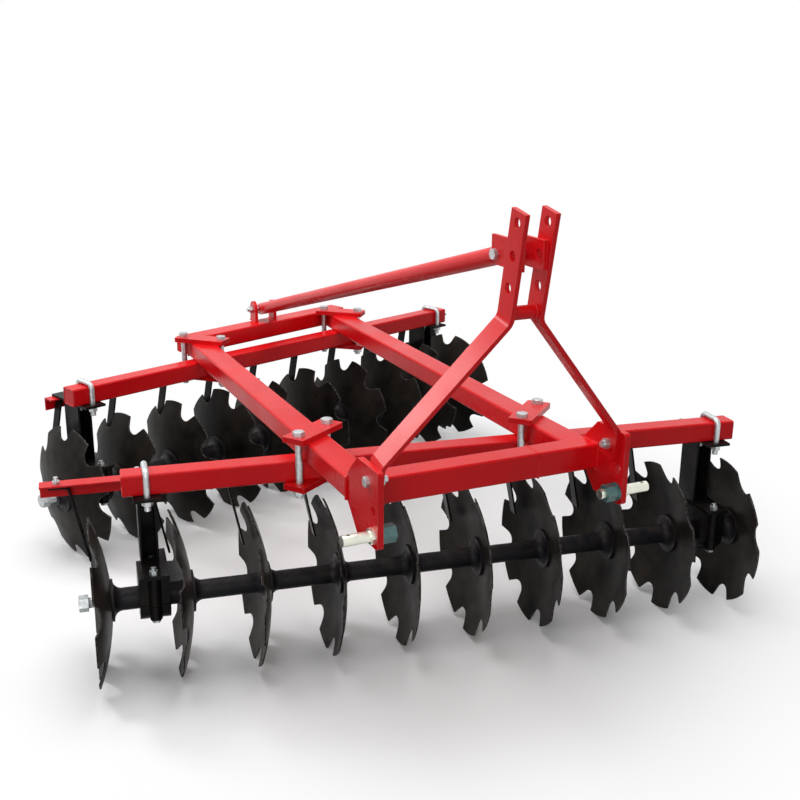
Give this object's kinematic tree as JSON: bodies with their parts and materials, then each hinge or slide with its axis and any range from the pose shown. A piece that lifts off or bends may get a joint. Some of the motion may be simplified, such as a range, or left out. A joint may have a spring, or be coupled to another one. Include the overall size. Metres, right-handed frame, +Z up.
{
  "type": "mounted offset disc harrow",
  "caption": "Mounted offset disc harrow: two angled gangs of notched discs under a tube frame, with mast, strut and link pins.",
  "frame": {"origin": "on the floor, under the middle of the machine's box", "axes": "+Z up, -Y forward towards the tractor, +X to the right seen from the front"},
  "size_m": [2.1209, 2.4262, 1.3284],
  "materials": {
    "red_paint": "gloss red enamel",
    "black_paint": "gloss black paint",
    "disc_steel": "satin black paint on spring steel",
    "cast_spools": "black painted cast iron",
    "zinc_plate": "zinc plated",
    "yellow_zinc": "yellow zinc plated",
    "grey_nuts": "dark zinc plated"
  },
  "bodies": {
    "frame": {"left_rail": "red_paint", "right_rail": "red_paint", "front_crossbeam": "red_paint", "rear_crossbeam": "red_paint", "left_headstock_plate": "red_paint", "right_headstock_plate": "red_paint", "left_mast_leg": "red_paint", "right_mast_leg": "red_paint", "mast_spacer": "red_paint", "strut_lugs": "red_paint", "strut": "red_paint", "rear_clevis": "red_paint", "mast_bolts": "zinc_plate", "strut_bolts": "zinc_plate", "left_link_pin": "yellow_zinc", "right_link_pin": "yellow_zinc", "link_pin_nuts": "grey_nuts", "clamp_top_plates": "red_paint", "clamp_bottom_plates": "red_paint", "clamp_bolts": "zinc_plate", "front_gang_beam": "red_paint", "rear_gang_beam": "red_paint", "u_bolts": "zinc_plate", "front_left_hanger": "black_paint", "front_right_hanger": "black_paint", "rear_left_hanger": "black_paint", "rear_right_hanger": "black_paint", "front_bearing_housings": "black_paint", "rear_bearing_housings": "black_paint", "housing_bolts": "zinc_plate", "front_scraper_bar": "red_paint", "rear_scraper_bar": "red_paint", "front_scrapers": "black_paint", "rear_scrapers": "black_paint"},
    "front_gang": {"front_shaft": "cast_spools", "front_discs": "disc_steel", "front_spools": "cast_spools", "front_bearing_spools": "cast_spools", "front_end_bells": "cast_spools", "front_end_nuts": "zinc_plate"},
    "rear_gang": {"rear_shaft": "cast_spools", "rear_discs": "disc_steel", "rear_spools": "cast_spools", "rear_bearing_spools": "cast_spools", "rear_end_bells": "cast_spools", "rear_end_nuts": "zinc_plate"}
  },
  "joints": [
    {"name": "front_gang_turn", "type": "hinge", "parent": "frame", "child": "front_gang", "pos_m": [-0.0358, -0.6498, 0.23], "axis": [0.9885, -0.1513, 0], "continuous": true},
    {"name": "rear_gang_turn", "type": "hinge", "parent": "frame", "child": "rear_gang", "pos_m": [-0.0358, 0.6412, 0.23], "axis": [0.9367, 0.3502, 0], "continuous": true}
  ]
}
